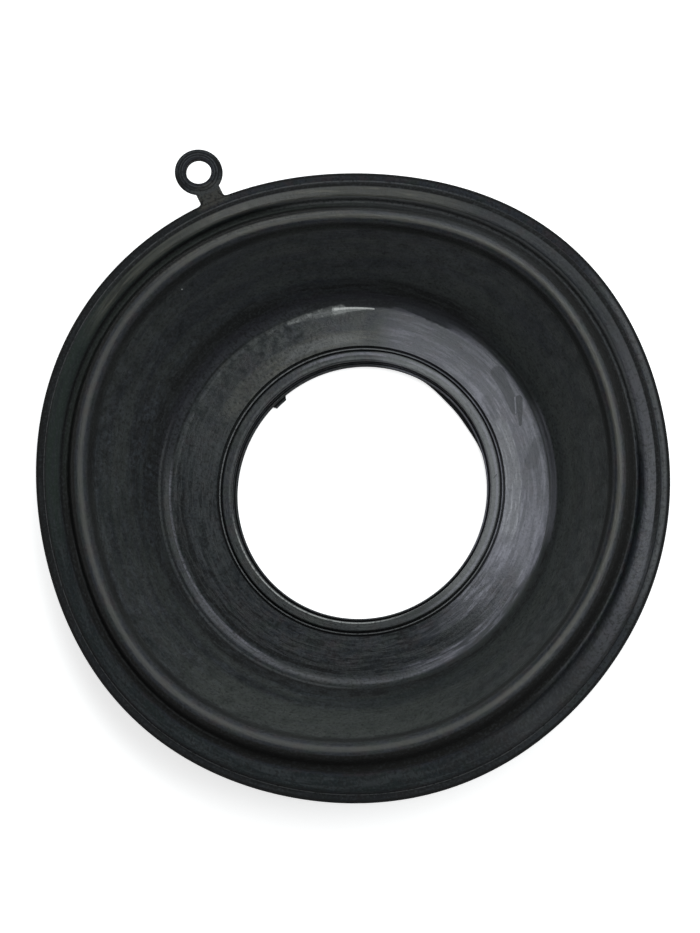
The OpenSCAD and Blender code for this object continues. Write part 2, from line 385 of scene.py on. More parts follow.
def ear_grid(lip_rows):
    """The ear as a closed grid: its outline one way, a closed section from edge to hole the other.

    lip_rows are the rim's own points (rows by root columns) where the neck grows out of the lip.
    Between the hole's circles and the outline the plate is a blend of the two, s across it and
    s squared along it, which stays inside the neck's hollow sides.
    """
    out = pointing(EAR_TURN)[:2]
    side = np.array([-out[1], out[0]])
    centre = out * (RIM_R + EAR_OUT)
    rows, columns = lip_rows.shape[:2]
    flat = lip_rows[..., :2] - centre
    local = np.stack([flat @ out, flat @ side, lip_rows[..., 2] - RIM_Z], axis=-1)
    loop, angles = ear_outline(local[rows // 2, :, :2])
    tangent = unit(np.roll(loop, -1, axis=0) - np.roll(loop, 1, axis=0))
    inward = np.column_stack([tangent[:, 1], -tangent[:, 0]])

    edge = np.linspace(math.pi / 2, -math.pi / 2, rows)
    edge_in = LIP_EDGE * (1 - np.cos(edge))
    edge_z = (EAR_T / 2 - LIP_EDGE) * np.sign(np.sin(edge)) + LIP_EDGE * np.sin(edge)
    stations = np.array([np.column_stack([loop + inward * e, np.full(len(loop), z)])
                         for e, z in zip(edge_in, edge_z)])
    stations[:, :columns] = local
    circle = np.column_stack([np.cos(angles), np.sin(angles)])

    def ring(radius, height):
        return np.column_stack([circle * radius, np.full(len(loop), height)])

    plate, top = EAR_T / 2, EAR_BEAD_T / 2

    def blend(edge_row, height, s):
        return edge_row + (ring(EAR_BEAD_R + EAR_SKIRT, height) - edge_row) * [s * s, s, 1.0]

    corner = np.radians([0.0, 22.5, 45.0, 67.5, 90.0])
    round_r = EAR_BEAD_R - EAR_BEAD_ROUND * (1 - np.cos(corner))
    round_z = top - EAR_BEAD_ROUND * (1 - np.sin(corner))
    profile = [
        (EAR_BEAD_R + CREASE_ROUND, plate + CREASE_ROUND),
        *zip(round_r, round_z),
        *((r, top) for r in EAR_TOP_CIRCLES),
        (EAR_HOLE_R + HOLE_EDGE, top),
        (EAR_HOLE_R, top - HOLE_EDGE),
        (EAR_HOLE_R, top - HOLE_RIM),
    ]
    below = [blend(stations[-1], -plate, s) for s in PLATE_SHARES]
    down = [ring(r, -z) for r, z in profile]
    waist = [ring(EAR_HOLE_R, z) for z in (-HOLE_WAIST, HOLE_WAIST)]
    up = [ring(r, z) for r, z in profile[::-1]]
    above = [blend(stations[0], plate, s) for s in PLATE_SHARES[::-1]]
    stack = np.vstack([stations, below, down, waist, up, above])
    level = centre + stack[..., :1] * out + stack[..., 1:2] * side
    return np.concatenate([level, stack[..., 2:] + RIM_Z], axis=-1)


def drop_unused(points, normals, faces):
    """Keeps only the points that a face uses, with the faces renumbered to match."""
    used, renumbered = np.unique(faces, return_inverse=True)
    return points[used], normals[used], renumbered.reshape(faces.shape)


def moulding():
    """Nominal points, normals and quads of the whole diaphragm, as moulded, before it settled.

    The bowl and the ear are two closed grids. The bowl's lip loses the patch that the neck covers,
    the ear loses its hidden end, and the two edges share the bowl's points, so that one closed
    surface is left.
    """
    section, flat_normals, marks = rounded(section_corners())
    bowl, bowl_normals = turned(section, flat_normals, COLUMNS)
    rows = len(section)
    faces = torus_faces(rows, COLUMNS)
    first, last = marks[LIP_CORNER], marks[LIP_CORNER + 2] - 1
    patch = np.arange(-ROOT_HALF, ROOT_HALF + 1) % COLUMNS
    lip_rows = bowl[first:last + 1][:, patch]
    keep = np.ones(faces.shape[:2], bool)
    keep[np.ix_(np.arange(first, last), patch[:-1])] = False

    ear = ear_grid(lip_rows)
    ear_keep = np.ones(ear.shape[:2], bool)
    ear_keep[:last - first, :2 * ROOT_HALF] = False
    number = np.arange(ear_keep.size).reshape(ear_keep.shape) + rows * COLUMNS
    number_in_bowl = np.arange(rows * COLUMNS).reshape(rows, COLUMNS)
    number[:last - first + 1, :2 * ROOT_HALF + 1] = number_in_bowl[first:last + 1][:, patch]
    ear_faces = number.reshape(-1)[torus_faces(*ear_keep.shape)[ear_keep]][:, ::-1]

    points = np.vstack([bowl.reshape(-1, 3), ear.reshape(-1, 3)])
    normals = np.vstack([bowl_normals.reshape(-1, 3), -grid_normals(ear).reshape(-1, 3)])
    return drop_unused(points, normals, np.vstack([faces[keep], ear_faces]))


# How the soft part lies. The waves of the radius, and those of the rim's height (the slack), are
# each (how many go round the axis, how high in mm, the direction of a crest in degrees).
RIM_WAVES = ((3, 0.40, 28.0), (4, 0.28, -42.0), (5, 0.07, -7.0), (6, 0.10, -12.0))
RING_WAVES = ((2, 0.24, 63.0),)
ROLL_WAVES = ((2, 0.20, 35.0), (3, 0.12, 0.0))
SLACK_WAVES = ((2, 0.12, 34.3775), (5, 0.05, -11.4592))
# Radii over which the rim's waves rise, the ring's fade, and the roll's rise and fade
RIM_RISE, RING_FADE, ROLL_RISE_R, ROLL_FADE = (24.0, 36.0), (18.0, 24.0), (26.0, 34.0), (37.5, 39.4)
# The gate nib in the bore: direction, degrees over which it falls, depth, and heights of its faces
NIB_TURN, NIB_SPAN, NIB_DEPTH = 132.0, (3.3, 4.0), 0.45
NIB_FOOT, NIB_TOP = (0.07, 0.11), (0.48, 0.52)
# The crescent of flash: direction, degrees over which it thins, depth, and height of its top
FLASH_TURN, FLASH_SPAN, FLASH_DEPTH, FLASH_TOP = 40.0, (5.0, 26.0), 0.5, (0.50, 0.56)
# How far out of the lead-in both of them reach
BORE_SIDE = (BORE_R + LEAD_W + 0.02, BORE_R + LEAD_W + 0.2)
# The wall's crease: radius, width, degrees to each side of +X, and lift
CREASE_R, CREASE_W, CREASE_HALF, CREASE_LIFT = 28.8, 0.9, 11.0, 0.30
# How far each radius has slid sideways: [radius, along x, along y]
SLIDES = np.array([
    [17.2, 0.0, 0.0],
    [19.4, -0.12, 0.13],
    [26.0, -0.70, 0.20],
    [34.5, -1.30, 0.75],
    [38.2, -1.38, 0.50],
    [39.4, -1.15, -0.03],
    [40.6, -0.95, 0.32],
])


def waves(theta, terms):
    """Sum of a cos(k (t - direction)) over the terms (k, a, direction)."""
    return sum(a * np.cos(k * (theta - math.radians(d))) for k, a, d in terms)


def settle(p):
    """Where each moulded point lies now.

    The radius gains the rim's waves times an ease that rises from the web to the roll, the ring's
    waves times one that falls across the web, and the roll's waves times one that does both. Each
    radius slides sideways by the table of slides. The gate nib and the thin crescent of flash pull
    the foot of the bore inwards. The crease lifts the wall by a bell in radius times one in
    direction, and the slack's waves lift and lower the rim.
    """
    x, y, z = p[:, 0], p[:, 1], p[:, 2]
    r = np.hypot(x, y)
    theta = np.arctan2(y, x)
    rim = ease(r, *RIM_RISE)
    ring = 1.0 - ease(r, *RING_FADE)
    roll = ease(r, *ROLL_RISE_R) * (1.0 - ease(r, *ROLL_FADE))
    grow = rim * waves(theta, RIM_WAVES) + ring * waves(theta, RING_WAVES) + roll * waves(theta, ROLL_WAVES)
    bore_side = 1.0 - ease(r, *BORE_SIDE)
    nib = (1.0 - ease(np.abs(turn_from(theta, NIB_TURN)), *NIB_SPAN)) * bore_side
    nib *= ease(z, *NIB_FOOT) * (1.0 - ease(z, *NIB_TOP)) * (r - (BORE_R - NIB_DEPTH))
    crescent = FLASH_DEPTH * (1.0 - ease(np.abs(turn_from(theta, FLASH_TURN)), *FLASH_SPAN))
    crescent *= (1.0 - ease(z, *FLASH_TOP)) * bore_side
    new_r = r + grow - nib - crescent
    slide_x, slide_y = (np.interp(r, SLIDES[:, 0], SLIDES[:, k]) for k in (1, 2))
    crease = CREASE_LIFT * hump(r, CREASE_R, CREASE_W) * hump(turn_from(theta, 0.0), 0.0, CREASE_HALF)
    return np.column_stack([new_r * np.cos(theta) + slide_x, new_r * np.sin(theta) + slide_y,
                            z + crease + rim * waves(theta, SLACK_WAVES)])


def settled(points, normals):
    """Settled points, and normals turned by the cofactors of the settling's slopes.

    The slopes are differences over a small step along x, y and z; the new normal is
    nx (Jy x Jz) + ny (Jz x Jx) + nz (Jx x Jy).
    """
    step = 0.01
    base = settle(points)
    jx, jy, jz = ((settle(points + step * axis) - base) / step for axis in np.eye(3))
    turned_normals = (normals[:, :1] * np.cross(jy, jz) + normals[:, 1:2] * np.cross(jz, jx)
                      + normals[:, 2:] * np.cross(jx, jy))
    return base, unit(turned_normals)


def in_scene(name, data):
    """A new object of the scene, made of a mesh, a camera or a lamp."""
    thing = bpy.data.objects.new(name, data)
    bpy.context.scene.collection.objects.link(thing)
    return thing


# Moulded radii where the look of the floor gives way to the wall's, and the wall's to the rim's
LOOK_RADII = (26.8, 35.0)


def mesh_piece(name, points, faces, normals, moulded):
    """A smooth mesh object from arrays in millimetres.

    Its attributes keep the moulded place and which side is the upper one, and the mean moulded
    radius of a face chooses its look.
    """
    mesh = bpy.data.meshes.new(name)
    mesh.vertices.add(len(points))
    mesh.loops.add(faces.size)
    mesh.polygons.add(len(faces))
    mesh.vertices.foreach_set("co", (points * MM).astype(np.float32).ravel())
    mesh.loops.foreach_set("vertex_index", faces.astype(np.int32).ravel())
    mesh.polygons.foreach_set("loop_start", np.arange(0, faces.size, 4, dtype=np.int32))
    radii = np.hypot(moulded[:, 0], moulded[:, 1])[faces].mean(axis=1)
    mesh.polygons.foreach_set("material_index", np.searchsorted(LOOK_RADII, radii).astype(np.int32))
    mesh.update(calc_edges=True)
    mesh.validate()
    mesh.shade_smooth()
    mesh.normals_split_custom_set_from_vertices(normals.astype(np.float32).tolist())
    place = mesh.attributes.new("moulded", "FLOAT_VECTOR", "POINT")
    place.data.foreach_set("vector", moulded.astype(np.float32).ravel())
    upper = mesh.attributes.new("upper_side", "FLOAT", "POINT")
    upper.data.foreach_set("value", (normals[:, 2] > 0.0).astype(np.float32))
    return in_scene(name, mesh)


# Shader helpers
def feed(tree, node, feeds):
    """Gives the node's inputs, by name or number, the feeds: sockets or plain values."""
    for key, value in feeds.items():
        if isinstance(value, bpy.types.NodeSocket):
            tree.links.new(value, node.inputs[key])
        else:
            node.inputs[key].default_value = value
    return node


def put(tree, kind, feeds=None, **settings):
    """A new shader node of one kind, with its settings and its feeds."""
    node = tree.nodes.new("ShaderNode" + kind)
    for name, value in settings.items():
        setattr(node, name, value)
    return feed(tree, node, feeds or {})


def maths(tree, operation, a, b=0.0, c=0.0, clamp=False):
    return put(tree, "Math", {0: a, 1: b, 2: c}, operation=operation, use_clamp=clamp).outputs[0]


def vectors(tree, operation, a, b=(0.0, 0.0, 0.0)):
    """A step of vector maths; b is the second vector, or the factor where the operation is SCALE."""
    node = put(tree, "VectorMath", {0: a, "Scale" if operation == "SCALE" else 1: b}, operation=operation)
    return node.outputs["Value" if operation in ("LENGTH", "DISTANCE", "DOT_PRODUCT") else "Vector"]


def eased(tree, value, low, high):
    """0 below low, 1 above high, smooth between, as the function ease does."""
    feeds = {"Value": value, "From Min": low, "From Max": high}
    return put(tree, "MapRange", feeds, interpolation_type="SMOOTHSTEP").outputs[0]


def cut_noise(tree, place, scale, detail, roughness, low, high):
    """Noise that is 0 below low, 1 above high and even between."""
    noise = put(tree, "TexNoise", {"Vector": place, "Scale": scale, "Detail": detail, "Roughness": roughness})
    return put(tree, "MapRange", {"Value": noise.outputs[0], "From Min": low, "From Max": high}).outputs[0]


def mixed(tree, share, a, b):
    """Colour a at share 0 and colour b at share 1."""
    return put(tree, "Mix", {0: share, 6: a, 7: b}, data_type="RGBA").outputs[2]


VECTOR = "vector"


def new_group(name, **inputs):
    """A shader group and its input sockets: each is a number, given by its default, or a VECTOR."""
    tree = bpy.data.node_groups.new(name, "ShaderNodeTree")
    for label, default in inputs.items():
        kind = "NodeSocketVector" if default is VECTOR else "NodeSocketFloat"
        socket = tree.interface.new_socket(label, in_out="INPUT", socket_type=kind)
        if default is not VECTOR:
            socket.default_value = default
    return tree, tree.nodes.new("NodeGroupInput").outputs[:len(inputs)]


def closed(tree, **results):
    """The group with its results led out through sockets of their names."""
    for label, result in results.items():
        kind = "NodeSocketVector" if result.type == "VECTOR" else "NodeSocketFloat"
        tree.interface.new_socket(label, in_out="OUTPUT", socket_type=kind)
    feed(tree, tree.nodes.new("NodeGroupOutput"), results)
    return tree


# Takes a vector's height away
LEVEL = (1.0, 1.0, 0.0)


def polar_group():
    """Radius in mm, direction in degrees and the unit direction of a moulded place."""
    tree, (place,) = new_group("polar_place", Place=VECTOR)
    flat = vectors(tree, "MULTIPLY", place, LEVEL)
    x, y = put(tree, "SeparateXYZ", {0: place}).outputs[:2]
    turn = maths(tree, "DEGREES", maths(tree, "ARCTAN2", y, x))
    radius, spoke = vectors(tree, "LENGTH", flat), vectors(tree, "NORMALIZE", flat)
    return closed(tree, Radius=radius, Turn=turn, Spoke=spoke)


def band_group():
    """1 where a value lies between From and To, with an eased margin of width Soft outside each."""
    tree, (value, low, high, soft) = new_group("band", Value=0.0, From=0.0, To=1.0, Soft=0.1)
    half = maths(tree, "MULTIPLY", maths(tree, "SUBTRACT", high, low), 0.5)
    away = maths(tree, "ABSOLUTE", maths(tree, "SUBTRACT", value, maths(tree, "ADD", low, half)))
    return closed(tree, Mask=eased(tree, away, maths(tree, "ADD", half, soft), half))


def fan_group():
    """1 where a unit direction lies near Middle: its cosine with Middle eased between Outer and Inner."""
    tree, (spoke, middle, outer, inner) = new_group("fan", Spoke=VECTOR, Middle=VECTOR, Outer=0.0, Inner=1.0)
    return closed(tree, Mask=eased(tree, vectors(tree, "DOT_PRODUCT", spoke, middle), outer, inner))


def streak_group():
    """Noise drawn out round the axis: sampled at (spoke times Around, radius times Across + Seed)."""
    tree, (radius, spoke, around, across, seed, low, high) = new_group(
        "streaks", Radius=0.0, Spoke=VECTOR, Around=3.0, Across=2.0, Seed=0.0, Low=0.4, High=0.6)
    lift = put(tree, "CombineXYZ", {2: maths(tree, "MULTIPLY_ADD", radius, across, seed)}).outputs[0]
    place = vectors(tree, "ADD", vectors(tree, "SCALE", spoke, around), lift)
    return closed(tree, Mask=cut_noise(tree, place, 1.0, 4.0, 0.6, low, high))


def cloud_group():
    """Soft patches: noise of a given size in mm, cut between Low and High."""
    tree, (place, size, seed, low, high) = new_group(
        "clouds", Place=VECTOR, Size=5.0, Seed=0.0, Low=0.4, High=0.6)
    moved = vectors(tree, "ADD", place, put(tree, "CombineXYZ", {0: seed, 2: seed}).outputs[0])
    return closed(tree, Mask=cut_noise(tree, moved, maths(tree, "DIVIDE", 1.0, size), 3.0, 0.55, low, high))


def stroke_group():
    """A drawn stroke on the unrolled surface: 1 within Width of the line From..To, thinning to its end.

    The line's nearest point is at the share h = (p - from) . (to - from) / |to - from|^2, held to 0..1,
    and the width there is Width times 1 - Taper h.
    """
    tree, (flat, start, end, width, taper, soft) = new_group(
        "stroke", Flat=VECTOR, From=VECTOR, To=VECTOR, Width=0.5, Taper=1.0, Soft=0.1)
    reach = vectors(tree, "SUBTRACT", flat, start)
    line = vectors(tree, "SUBTRACT", end, start)
    along, square = (vectors(tree, "DOT_PRODUCT", v, line) for v in (reach, line))
    share = maths(tree, "DIVIDE", along, square, clamp=True)
    away = vectors(tree, "DISTANCE", reach, vectors(tree, "SCALE", line, share))
    half = maths(tree, "MULTIPLY", width, maths(tree, "SUBTRACT", 1.0, maths(tree, "MULTIPLY", taper, share)))
    fall = eased(tree, maths(tree, "SUBTRACT", away, half), 0.0, soft)
    return closed(tree, Mask=maths(tree, "SUBTRACT", 1.0, fall))


def speck_group():
    """Sparse dust: a small dot in some of the random cells, in the share Share of them."""
    tree, (place, cell, dot, share) = new_group("specks", Place=VECTOR, Cell=5.0, Dot=0.1, Share=0.2)
    cells = put(tree, "TexVoronoi", {"Vector": place, "Scale": maths(tree, "DIVIDE", 1.0, cell)})
    chance, size = put(tree, "SeparateXYZ", {0: cells.outputs["Color"]}).outputs[:2]
    reach = maths(tree, "MULTIPLY", cells.outputs["Distance"], cell)
    near = maths(tree, "LESS_THAN", reach, maths(tree, "MULTIPLY", dot, maths(tree, "ADD", size, 0.5)))
    return closed(tree, Mask=maths(tree, "MULTIPLY", maths(tree, "LESS_THAN", chance, share), near))


# Length in mm of one degree round the axis at the outer edge of the web, where the strokes lie
DEGREE = 0.44


class Marks:
    """Masks over the moulded surface: rings, sides, streaks, patches, strokes and specks.

    groups are the shader groups that every material of the rubber shares.
    """

    def __init__(self, tree, groups):
        self.tree, self.groups = tree, groups
        self.place = put(tree, "Attribute", attribute_name="moulded").outputs["Vector"]
        self.upper = put(tree, "Attribute", attribute_name="upper_side").outputs["Fac"]
        self.radius, self.turn, self.spoke = self.of("polar", Place=self.place)
        self.flat = put(tree, "CombineXYZ", {0: maths(tree, "MULTIPLY", self.turn, DEGREE),
                                             1: self.radius}).outputs[0]
        from_ear = vectors(tree, "SUBTRACT", self.place, pointing(EAR_TURN) * (RIM_R + EAR_OUT))
        self.ear_radius = vectors(tree, "LENGTH", vectors(tree, "MULTIPLY", from_ear, LEVEL))

    def of(self, group, **feeds):
        """The outputs of a shared group placed in this material."""
        return put(self.tree, "Group", feeds, node_tree=self.groups[group]).outputs[:]

    def ring(self, low, high, soft, radius=None):
        """Between two radii in mm, with a margin of soft mm outside them."""
        return self.of("band", Value=radius or self.radius, From=low, To=high, Soft=soft)[0]

    def ear_ring(self, low, high, soft):
        """As ring, round the ear's hole."""
        return self.ring(low, high, soft, self.ear_radius)

    def side(self, middle, half, soft):
        """Within half degrees of the direction middle, with a margin of soft degrees."""
        return self.of("fan", Spoke=self.spoke, Middle=pointing(middle),
                       Outer=math.cos(math.radians(half + soft)), Inner=math.cos(math.radians(half)))[0]

    def streaks(self, around, across, low, high, seed=0.0):
        return self.of("streaks", Radius=self.radius, Spoke=self.spoke, Around=around, Across=across,
                       Low=low, High=high, Seed=seed)[0]

    def patches(self, size, low, high, seed=0.0):
        return self.of("clouds", Place=self.place, Size=size, Low=low, High=high, Seed=seed)[0]

    def stroke(self, start, end, width, taper, soft):
        """A stroke between two places given as (direction in degrees, radius in mm)."""
        start, end = ((turn * DEGREE, radius, 0.0) for turn, radius in (start, end))
        return self.of("stroke", Flat=self.flat, From=start, To=end, Width=width, Taper=taper, Soft=soft)[0]

    def specks(self, cell, dot, share):
        return self.of("specks", Place=self.place, Cell=cell, Dot=dot, Share=share)[0]

    def times(self, *masks):
        return reduce(lambda a, b: maths(self.tree, "MULTIPLY", a, b), masks)

    def most(self, *masks):
        return reduce(lambda a, b: maths(self.tree, "MAXIMUM", a, b), masks)

    def without(self, mask, other):
        return maths(self.tree, "SUBTRACT", mask, other, clamp=True)


# The rubber's own colours, those of what lies on it, and those of painted highlights and painted shade
BLACK = (0.002, 0.0022, 0.0024, 1.0)
SLATE = (0.0112, 0.0134, 0.0184, 1.0)
DEEP_SLATE = (0.0022, 0.0036, 0.0050, 1.0)
BLUE_SLATE = (0.0110, 0.0142, 0.0200, 1.0)
GREEN_SLATE = (0.0100, 0.0165, 0.0125, 1.0)
RED_SLATE = (0.0175, 0.0130, 0.0150, 1.0)
PURPLE_SLATE = (0.0140, 0.0140, 0.0190, 1.0)
TEAL = (0.0030, 0.0066, 0.0072, 1.0)
GREY = (0.034, 0.038, 0.041, 1.0)
GREY_GREEN = (0.034, 0.039, 0.034, 1.0)
GREY_BLUE = (0.033, 0.039, 0.046, 1.0)
PALE = (0.11, 0.114, 0.116, 1.0)
CHALK = (0.38, 0.39, 0.38, 1.0)
LILAC = (0.195, 0.192, 0.228, 1.0)
BEIGE = (0.075, 0.073, 0.060, 1.0)
BROWN = (0.0036, 0.0034, 0.0026, 1.0)
# Colour of the painted highlight on the sharp bend at the top of the web
FOLD_GLINT = (0.62, 0.63, 0.61, 1.0)
DUST = (0.45, 0.46, 0.46, 1.0)


def find_zones(marks):
    """The masks that colour, roughness and relief share: forms by radius, sides by direction, textures."""
    ring, side, times, most = marks.ring, marks.side, marks.times, marks.most
    slant = maths(marks.tree, "MULTIPLY_ADD", marks.turn, 2.2, times(marks.radius, 2.5))
    slots = marks.without(ring(18.87, 19.53, 0.02), ring(19.12, 19.28, 0.02))
    hole_edge = marks.ear_ring(0, 1.72, 0.06)
    ear_edge = times(marks.ear_ring(3.04, 3.6, 0.06), ring(44.6, 60, 0.5))
    rim_edge = marks.without(ring(41.66, 60, 0.12), side(EAR_TURN, 3, 0.5))
    return SimpleNamespace(
        # Painted shade in the groove's slots, the ledge's cut and on the bore's wall
        floor_crease_shade=most(slots, ring(17.22, 17.4, 0.04), ring(0, 17.02, 0.02)),
        # Painted shade along the rim's outer edge, along the ear's edge and round its hole
        rim_edge_shade=most(rim_edge, hole_edge, ear_edge),
        ring_top=ring(17.6, 18.85, 0.05),
        web=ring(19.6, 25, 0.8),
        fold=ring(25.3, 27, 0.3),
        # Where painted shade goes in the hollow above the fold and at the wall's foot
        hollow=ring(27.2, 28.3, 0.6),
        foot=most(times(ring(27.1, 28, 0.4), side(213, 25, 14)),
                  times(ring(26.9, 27.6, 0.4), side(300, 40, 14)),
                  times(ring(27, 27.8, 0.6), side(262, 26, 16))),
        wrinkles=times(eased(marks.tree, maths(marks.tree, "SINE", slant), 0.2, 0.9),
                       ring(26.9, 28.1, 0.5), side(176, 8, 6)),
        wall=ring(27.6, 34.2, 0.8),
        # Where painted shade goes at the foot of the roll's inner side
        flank_shade=ring(34.3, 34.45, 0.4),
        # Where the painted highlight on the crest goes, and the painted shade in the valley
        crest=ring(35.4, 35.65, 0.35),
        valley=most(ring(36.5, 37.7, 0.3), times(ring(36.4, 38.1, 0.3), side(205, 100, 20))),
        sleek=times(ring(36.8, 37.5, 0.4), side(150, 60, 30), 0.8),
        bead=ring(38.7, 40.5, 0.3),
        # Where painted shade goes in the step outside the bead
        bead_step_shade=times(ring(40.25, 40.6, 0.15), side(65, 70, 15)),
        lip=ring(40.85, 60, 0.15),
        upper=side(112, 50, 22),
        left=side(150, 35, 15),
        lower_left=side(215, 75, 30),
        near_side=side(8, 22, 16),
        fine=marks.streaks(7, 2.6, 0.42, 0.66),
        broad=marks.streaks(2.4, 1.1, 0.40, 0.62, 7),
        drawn=marks.streaks(5, 1.6, 0.48, 0.58, 21),
        wiped=marks.streaks(3, 1.8, 0.46, 0.58, 63),
        mottle=marks.patches(2, 0.40, 0.66),
        speckle=marks.patches(0.8, 0.40, 0.66, 12),
    )


# Layers are listed from the lowest up, each as (how much, its colour, the masks whose product says
# where it lies). A ring is given by its radii and margin in mm, a side by its direction, half width
# and margin in degrees.
def ring_layers(marks, at):
    """The ring's top: brushed grey, paler at the right with painted light, with painted highlights near each
    edge and on the thin rib in its groove.
    """
    ring, side = marks.ring, marks.side
    return [
        # Painted light: the ring's top paler at the right, towards the lamp there
        (0.9, PALE, at.ring_top, side(12, 54, 22)),
        # Painted highlight on the outer shoulder of the ring's top
        (0.5, LILAC, ring(18.35, 18.6, 0.1), side(25, 75, 25)),
        (0.5, GREY_GREEN, at.ring_top, side(110, 60, 30), at.drawn),
        # Painted highlight near the inner edge, at the top
        (0.3, PALE, ring(17.8, 17.95, 0.1), side(120, 60, 25)),
        (0.4, GREY_GREEN, at.ring_top, side(255, 40, 30)),
        # Painted highlights on the inner shoulder below, and on the thin rib in the groove
        (0.7, CHALK, ring(17.62, 17.74, 0.05), side(240, 30, 25)),
        (0.7, PALE, ring(17.48, 17.62, 0.05), side(300, 30, 20)),
        (0.9, PALE, ring(19.13, 19.27, 0.03), side(205, 120, 30)),
    ]


def web_layers(marks, at):
    """The web: mottled and streaked at the left, pale at the right, partly from a pale film on the rubber and
    partly painted light, drawn dark streaks below.
    """
    ring, side, times, most = marks.ring, marks.side, marks.times, marks.most
    # The pale place at the right of the web, with an uneven edge: partly a pale film on the rubber, partly
    # painted light from the lamp at the right
    wander = maths(marks.tree, "MULTIPLY_ADD", marks.patches(3.5, 0.2, 0.8, 55), 1.4, marks.radius)
    bloom_and_light = most(times(ring(17, 25.9, 0.25, wander), side(8, 32, 14)),
                 times(ring(17, 25.9, 0.25, wander), side(56, 16, 14), 0.75))
    bloom_and_light = times(bloom_and_light, marks.without(1, times(ring(24, 28, 2), 0.25)))
    tail = most(times(ring(20.4, 21.8, 0.6), side(-52, 8, 10), 0.35),
                times(ring(19.6, 22, 0.6), side(-26, 20, 12)),
                times(ring(24.7, 25.9, 0.5), side(-38, 28, 14), 0.7),
                times(ring(19.6, 25.5, 0.5), side(-24, 14, 16), 0.38))
    return [
        (0.6, GREY_GREEN, at.web, side(120, 35, 30), at.mottle),
        (0.8, TEAL, at.web, side(155, 45, 25), at.speckle),
        (0.4, DEEP_SLATE, ring(22.4, 23.8, 0.5), side(155, 25, 15)),
        (0.75, BEIGE, ring(19.9, 21.6, 0.5), side(117, 27, 12), most(at.broad, 0.4)),
        (0.4, PALE, ring(20.3, 21.1, 0.5), side(105, 9, 9)),
        (0.9, GREY, ring(20, 23, 0.6), side(186, 20, 12), most(at.broad, 0.4)),
        (0.6, TEAL, at.web, side(240, 60, 30), at.broad),
        (0.8, BLACK, at.web, side(245, 60, 30), at.drawn, at.mottle),
        (0.8, GREY, at.web, side(225, 60, 30), at.wiped, at.speckle),
        (0.9, BLACK, ring(23.8, 24.7, 0.4), side(228, 35, 15), most(at.wiped, 0.5)),
        (0.6, DEEP_SLATE, ring(22.4, 24.2, 0.4), side(292, 16, 12), most(at.wiped, 0.5)),
        # The pale film and painted light at the right, its tail below it, and the brightest painted light
        # near the ring
        (0.85, LILAC, bloom_and_light, most(times(at.fine, 0.85), times(at.broad, 0.9), 0.45)),
        (0.9, LILAC, tail, most(at.fine, 0.2)),
        (0.3, CHALK, ring(19.6, 21.6, 0.5), side(4, 16, 12), most(at.fine, 0.4)),
    ]


def fold_layers(marks, at):
    """Thin lines and bands at the web's edge, where it starts to turn up, with painted highlights on its
    bend.
    """
    ring, side, most = marks.ring, marks.side, marks.most
    return [
        (0.4, GREY, ring(25.6, 26.2, 0.3), at.upper, most(at.fine, 0.4)),
        (0.8, BLACK, ring(24.28, 24.4, 0.1), at.left, most(at.drawn, 0.5)),
        (0.5, PALE, ring(24.62, 24.8, 0.12), side(140, 45, 15), most(at.fine, 0.4)),
        (0.8, BLACK, ring(25.3, 25.42, 0.1), side(150, 18, 10)),
        (0.7, BLACK, ring(25.05, 25.2, 0.1), side(118, 16, 8)),
        (0.9, BLACK, ring(26.3, 26.4, 0.1), side(195, 28, 12), most(at.fine, 0.5)),
        # Painted highlights on the bend of the fold, low down and at the right
        (0.55, LILAC, ring(25.3, 25.45, 0.12), side(207, 28, 12)),
        (0.2, LILAC, ring(25.4, 26, 0.25), side(255, 35, 20), most(at.wiped, 0.4)),
        (0.35, LILAC, ring(25.2, 25.8, 0.3), side(15, 35, 14)),
    ]


def turn_up_layers(marks, at):
    """What runs from the web on to the wall: soft streaks, painted light at the right, painted shade in the
    hollow, at the foot and in the wrinkles, the foot's thin lines.
    """
    ring, side, most = marks.ring, marks.side, marks.most
    return [
        (0.45, GREY_GREEN, most(at.wall, at.fold), at.broad),
        # Painted light: paler at the right, lifting the shade of the fold there
        (0.4, GREY_GREEN, ring(26.5, 29.5, 1.2), side(15, 45, 40)),
        (0.8, PURPLE_SLATE, at.fold, at.upper),
        # Painted shade in the hollow above the fold at the top, at the wall's foot lower down, and in the
        # creases of the wrinkles
        (0.9, BLACK, at.hollow, at.upper, most(at.drawn, at.broad, 0.4)),
        (0.9, BLACK, at.foot, most(at.mottle, at.drawn, 0.5)),
        (0.8, BLACK, at.wrinkles),
        (0.3, PALE, ring(26.6, 26.75, 0.1), side(215, 45, 15)),
        (0.7, BLACK, ring(26.95, 27.05, 0.1), side(248, 30, 20)),
        # Painted light on the bend at the right
        (0.3, LILAC, ring(26.3, 26.9, 0.3), side(5, 14, 10)),
        (0.8, BLACK, ring(26.55, 26.7, 0.12), side(34, 22, 10), most(at.fine, 0.5)),
        (0.7, BLACK, ring(25.45, 26.2, 0.2), side(91, 10, 8)),
    ]


